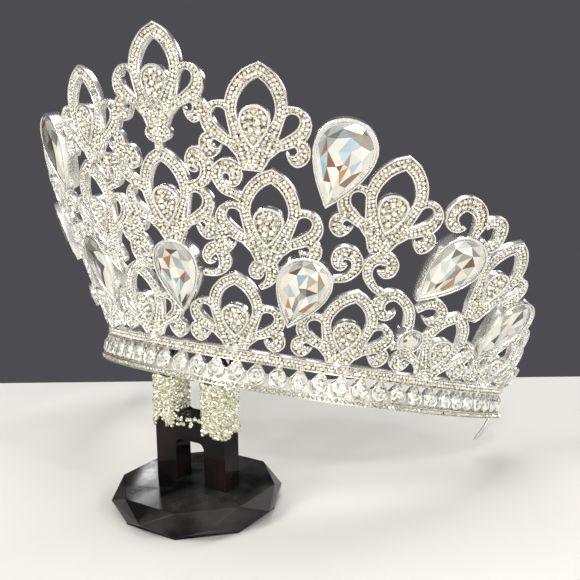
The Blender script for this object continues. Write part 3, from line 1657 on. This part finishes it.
@dataclass
class Prongs(Dressing):
    """Pairs of tapered wire prongs under the band's ends."""

    length: float = 12.0
    wide: float = 1.3
    gap: float = 3.0
    inset: float = 4.0
    lean: float = 26.0
    root: float = 1.9
    bow: float = 0.5
    taper: float = 0.3
    tip: float = 0.45
    steps: int = 8
    sides: int = 10

    def build(self) -> None:
        """Builds the four prongs."""
        bag = MeshBag()
        down, out = math.cos(math.radians(self.lean)), math.sin(math.radians(self.lean))
        for side, i in product((-1, 1), (-0.5, 0.5)):
            a = Anchor(self.surface,
                       side * (self.surface.half_arc - self.inset + i * self.gap), self.root)
            rings = []
            for k in range(self.steps + 1):
                t = k / self.steps
                w = self.wide * (1 - self.taper * t) * (self.tip if k == self.steps else 1.0)
                x, z = ring(w, self.sides, self.sides / 4).T
                y = np.full_like(x, -self.length * t * down)
                z = z - self.length * t * out + self.bow * math.sin(math.pi * t)
                rings.append(a.flat(np.stack([x, y, z], 1)))
            bag.rings(rings)
        bag.make("comb_prongs", [self.finishes.rims], Slot.SILVER, smooth=50)


# ------------------------------------------------------------------- stand


@dataclass
class Stand:
    """Black base and post, with champagne stones glued to the post."""

    finishes: Finishes
    turn: float = -4.7
    base_h: float = 8.2
    post_w: float = 27.2
    post_t: float = 7.0
    leg_w: float = 8.1
    post_h: float = 33.2
    bar_top: float = 21.8
    crust_low: float = 16.2
    row: float = 0.66
    pitch: float = 0.84
    jitter: float = 0.25
    ragged: float = 2.4
    wave: tuple[float, float] = (1.6, 0.9)
    left_rise: float = 1.5
    bar_drop: float = 3.4
    soften: float = 14.0
    bar_stones: int = 26
    seed: int = SEED + 4

    def build(self) -> None:
        """Builds both black pieces and the stones."""
        self._black("stand_base", "base_octagon", 0.22, self.finishes.slate)
        self._black("stand_post", "post_h", 0.3, self.finishes.crystal)
        self._crust()

    def _black(self, node: str, name: str, width: float, finish: Material) -> None:
        """Dresses a CAD node with softened edges.

        Args:
            node: The CAD node that it stands for.
            name: The piece's name.
            width: Width of the softened edges in mm.
            finish: Its material.
        """
        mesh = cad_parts[node].data.copy()
        mesh.name = name
        mesh.materials.clear()
        mesh.materials.append(finish)
        mesh.shade_flat()
        made = mount(name, mesh, Slot.BLACK, [node])
        made.modifiers.new("weld", "WELD").merge_threshold = 1e-6
        edge = made.modifiers.new("edge", "BEVEL")
        edge.width = width * MM
        edge.segments = 2
        edge.limit_method = "ANGLE"
        edge.angle_limit = math.radians(self.soften)

    def _crust(self) -> None:
        """Lays the glued stones in a loose crust with a ragged lower edge."""
        rng = np.random.default_rng(self.seed)
        half, inner = self.post_w / 2, self.post_w / 2 - self.leg_w
        sides = []
        for side in (-1, 1):
            sides += [((side * (half - self.leg_w / 2), -self.post_t / 2), (1, 0), self.leg_w),
                      ((side * half, 0), (0, side), self.post_t),
                      ((side * inner, 0), (0, -side), self.post_t)]
        at, axes, size = [], [], []
        for centre, run, width in sides:
            out = (run[1], -run[0])
            count = int(width / self.pitch)
            for row, k in product(range(int((self.post_h - self.crust_low) / self.row)),
                                  range(count)):
                x = (k + 0.25 + 0.5 * (row % 2)) / count * width - width / 2
                x += rng.uniform(-self.jitter, self.jitter)
                z = self.post_h - self.jitter - row * self.row
                z += rng.uniform(-self.jitter, self.jitter)
                low = self.crust_low + self.wave[0] * math.sin(centre[0] + x * self.wave[1]) \
                    + rng.uniform(0, self.ragged) + self.left_rise * (centre[0] < 0)
                if z < low or abs(x) > width / 2 + 0.05:
                    continue
                p = np.add(centre, np.multiply(run, x) + np.multiply(out, rng.uniform(-0.1, 0.12)))
                if abs(p[0]) < inner + 0.1 and z < self.bar_top + 0.5 and not out[1]:
                    continue
                at.append((*p, self.base_h + z))
                axes.append(matrices(run[0], 0, out[0], run[1], 0, out[1], 0, 1, 0)[0])
                size.append(rng.uniform(1.0, 1.5) + 0.2 * (z < self.crust_low + 5))
        for _ in range(self.bar_stones):
            x = rng.uniform(-1, 1) * inner
            z = self.bar_top - rng.uniform(0.3, self.bar_drop)
            if x > 1.5 and z < self.bar_top - 2.0:
                continue
            at.append((x, -self.post_t / 2, self.base_h + z))
            axes.append(matrices(1, 0, 0, 0, 0, -1, 0, 1, 0)[0])
            size.append(rng.uniform(1.1, 1.6))
        bag, turn = MeshBag(), np.array(Matrix.Rotation(math.radians(self.turn), 3, "Z"))
        StoneCut(7, 0.55).lay(bag, np.array(at) @ turn.T, turn @ np.array(axes), np.array(size),
                              rng, 0.5)
        bag.make("post_crust", [self.finishes.champagne], Slot.CHAMPAGNE)


# ------------------------------------------------------------------ studio


@dataclass(frozen=True)
class Lamp:
    """A square soft box or small lamp that faces the crown."""

    name: str
    place: Triple
    size: float
    power: float
    colour: Colour = (1.0, 1.0, 1.0)

    def build(self, target: Vector) -> None:
        """Hangs the lamp.

        Args:
            target: What it faces.
        """
        light = bpy.data.lights.new(self.name, "AREA")
        light.shape = "SQUARE"
        light.size = self.size
        light.energy = self.power
        light.color = self.colour
        lamp = link(self.name, light)
        lamp.location = self.place
        lamp.rotation_euler = (target - Vector(self.place)).to_track_quat("-Z", "Y").to_euler()


LAMPS = (
    Lamp("key", (-0.35, -0.65, 0.75), 0.4, 5.0, (1.0, 0.98, 0.95)),
    Lamp("fill", (0.75, -0.45, 0.35), 0.4, 2.9, (1.0, 0.99, 0.96)),
    Lamp("top", (0.0, 0.15, 0.95), 0.5, 3.5),
    Lamp("back", (0.45, 0.8, 0.6), 0.4, 2.0, (1.0, 0.97, 0.92)),
    Lamp("spark_a", (0.3, -0.6, 0.6), 0.06, 1.6),
    Lamp("spark_b", (-0.15, -0.8, 0.25), 0.05, 1.2, (1.0, 0.95, 0.85)),
    Lamp("spark_c", (0.75, -0.1, 0.5), 0.05, 1.2, (0.9, 0.95, 1.0)),
    Lamp("low_back", (-0.367, 0.423, 0.243), 0.03, 0.07))
SKY: Stops = ((0.0, (0.075, 0.075, 0.083)), (0.25, (0.09, 0.09, 0.098)),
              (0.6, (0.26, 0.26, 0.265)), (1.0, (0.5, 0.495, 0.485)))


@dataclass
class Studio:
    """Floor, lights, world and camera."""

    eye: Triple = (141.34, -201.26, 115.36)
    look: Triple = (-0.4631, 0.8662, -0.1877)
    lens: float = 51.04
    sensor: float = 36.0
    roll: float = -0.66
    floor_near: float = -2.5
    floor_end: float = 0.376
    floor_half: float = 3.0
    target: Triple = (0.0, 0.01, 0.08)
    sky_tilt: Triple = (-0.8, 0.5, 0.42)

    def build(self) -> None:
        """Sets the stage."""
        self._floor()
        for lamp in LAMPS:
            lamp.build(Vector(self.target))
        self._world()
        self._camera()
        bpy.context.scene.view_settings.view_transform = "Standard"

    def _floor(self) -> None:
        """Lays the floor."""
        mesh = bpy.data.meshes.new("studio_floor")
        eye = Vector((*self.eye[:2], 0)) * MM
        ahead = Vector((*self.look[:2], 0)).normalized()
        side = Vector((ahead.y, -ahead.x, 0)) * self.floor_half
        near, end = eye + ahead * self.floor_near, eye + ahead * self.floor_end
        mesh.from_pydata([near - side, near + side, end + side, end - side], [], [(0, 1, 2, 3)])
        mesh.materials.append(FloorFinish("studio_floor").build())
        link("studio_floor", mesh)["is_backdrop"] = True

    def _world(self) -> None:
        """Makes the pale surroundings."""
        world = bpy.data.worlds.new("studio")
        bpy.context.scene.world = world
        kit = NodeKit(world)
        where = kit.node("ShaderNodeTexCoord", {}, {}, "Generated")
        y, z = (kit.node("ShaderNodeSeparateXYZ", {}, {0: where}, axis) for axis in "YZ")
        back, up, level = self.sky_tilt
        sky = kit.ramp((y * back + z * up + level).clamp(), SKY)
        kit.node("ShaderNodeOutputWorld", {},
                 {"Surface": kit.node("ShaderNodeBackground", {}, {"Color": sky})}, None)

    def _camera(self) -> None:
        """Places the camera."""
        data = bpy.data.cameras.new("camera")
        data.lens = self.lens
        data.sensor_width = self.sensor
        data.sensor_fit = "HORIZONTAL"
        data.clip_start = 0.01
        camera = link("camera", data)
        camera.location = Vector(self.eye) * MM
        aim = Vector(self.look).to_track_quat("-Z", "Y").to_matrix()
        camera.rotation_euler = (aim @ Matrix.Rotation(math.radians(self.roll), 3, "Z")).to_euler()
        bpy.context.scene.camera = camera


def main() -> None:
    """Builds the crown, its stand and the studio."""
    logging.basicConfig(level=logging.INFO, format="%(name)s %(message)s")
    finishes = Finishes()
    work = Scrollwork(CrownSurface(), finishes)
    work.build()
    for part in (Pave, Teardrops, Band, MainStones, Prongs):
        part(work, finishes).build()
    Stand(finishes).build()
    Studio().build()
    boxes = {"cad": CAD_BOX, "visual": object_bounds()}
    {name: [list(c) for c in box] for name, box in boxes.items()}


if __name__ == "__main__":
    main()
